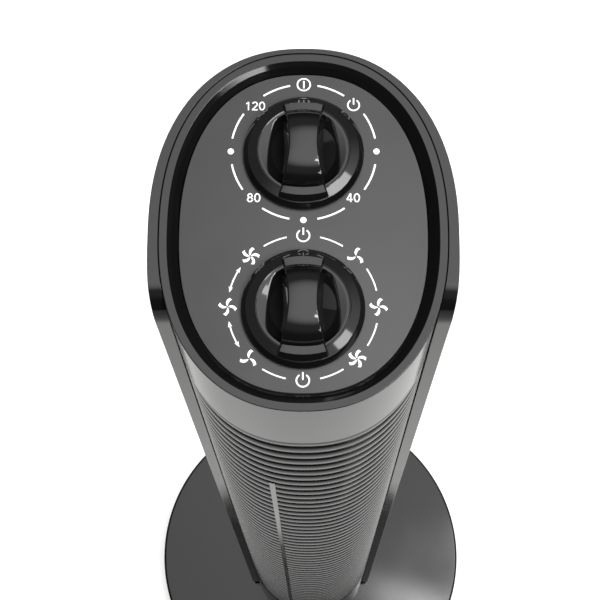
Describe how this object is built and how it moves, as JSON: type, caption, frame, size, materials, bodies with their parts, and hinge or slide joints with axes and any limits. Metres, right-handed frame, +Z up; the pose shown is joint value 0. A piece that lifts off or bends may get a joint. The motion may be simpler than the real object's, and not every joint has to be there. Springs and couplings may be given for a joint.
{
  "type": "tower fan",
  "caption": "Slim oval tower fan on a round base: ribbed front air grille, two rotary dials on the recessed top panel, column swings from side to side on its base.",
  "frame": {"origin": "centre of the round base, on the floor under the rubber feet", "axes": "+Z up along the column, -Y towards the front grille, +X to the right seen from the back"},
  "size_m": [0.222, 0.222, 0.7573],
  "materials": {
    "gloss_black_plastic": "glossy black ABS, polished mould finish",
    "satin_panel": "satin dark grey ABS with printed dial marks",
    "black_plastic": "plain black moulded plastic of the inner parts",
    "loom_sleeve": "soft PVC sleeve over the wires",
    "rubber_black": "black rubber",
    "zinc_steel": "zinc-plated steel",
    "iron_core": "laminated and cast iron, dull",
    "bronze": "sintered bronze",
    "nylon_white": "natural white nylon",
    "capacitor_case": "moulded grey capacitor case"
  },
  "bodies": {
    "base": {"base_shell": "gloss_black_plastic", "base_ballast": "iron_core", "base_plate": "black_plastic", "base_screw_1": "zinc_steel", "base_screw_2": "zinc_steel", "base_screw_3": "zinc_steel", "base_screw_4": "zinc_steel", "rubber_foot_1": "rubber_black", "rubber_foot_2": "rubber_black", "rubber_foot_3": "rubber_black", "rubber_foot_4": "rubber_black", "rubber_foot_5": "rubber_black", "swivel_washer": "nylon_white", "swing_gear": "nylon_white", "gear_screw_1": "zinc_steel", "gear_screw_2": "zinc_steel", "gear_screw_3": "zinc_steel"},
    "tower": {"tower_floor": "black_plastic", "swing_motor_plate": "zinc_steel", "swing_motor": "zinc_steel", "rear_casing": "gloss_black_plastic", "casing_screw_1": "zinc_steel", "casing_screw_2": "zinc_steel", "casing_screw_3": "zinc_steel", "casing_screw_4": "zinc_steel", "cord_gland": "rubber_black", "front_grille": "gloss_black_plastic", "top_cover": "gloss_black_plastic", "control_panel": "satin_panel", "control_chassis": "zinc_steel", "timer_body": "black_plastic", "speed_switch": "black_plastic", "air_duct": "black_plastic", "vortex_tongue": "black_plastic", "bearing_bracket": "black_plastic", "bearing_bush": "rubber_black", "top_bearing": "bronze", "motor_plate": "black_plastic", "motor_stator": "iron_core", "motor_upper_cover": "zinc_steel", "motor_lower_cover": "zinc_steel", "upper_motor_bearing": "bronze", "lower_motor_bearing": "bronze", "capacitor": "capacitor_case", "wiring_loom": "loom_sleeve"},
    "impeller_rotor": {"impeller": "black_plastic", "impeller_shaft": "zinc_steel", "top_pin": "zinc_steel", "motor_rotor": "iron_core"},
    "timer_dial": {"timer_knob": "gloss_black_plastic", "timer_shaft": "zinc_steel"},
    "speed_dial": {"speed_knob": "gloss_black_plastic", "switch_shaft": "zinc_steel"},
    "pinion": {"swing_pinion": "nylon_white", "pinion_shaft": "zinc_steel"}
  },
  "joints": [
    {"name": "swing", "type": "hinge", "parent": "base", "child": "tower", "pos_m": [0, 0, 0.03], "axis": [0, 0, 1], "range_deg": [-35, 35]},
    {"name": "impeller_spin", "type": "hinge", "parent": "tower", "child": "impeller_rotor", "pos_m": [0, 0.006, 0.4], "axis": [0, 0, 1], "continuous": true},
    {"name": "timer_turn", "type": "hinge", "parent": "tower", "child": "timer_dial", "pos_m": [0, 0.0267, 0.75], "axis": [0, 0, -1], "range_deg": [0, 315]},
    {"name": "speed_turn", "type": "hinge", "parent": "tower", "child": "speed_dial", "pos_m": [0, -0.0206, 0.75], "axis": [0, 0, -1], "continuous": true},
    {"name": "pinion_spin", "type": "hinge", "parent": "tower", "child": "pinion", "pos_m": [0, 0.0375, 0.05], "axis": [0, 0, 1], "range_deg": [-142, 142]}
  ],
  "couplings": [
    {"joint": "pinion_spin", "follows": "swing", "ratio": 4}
  ]
}
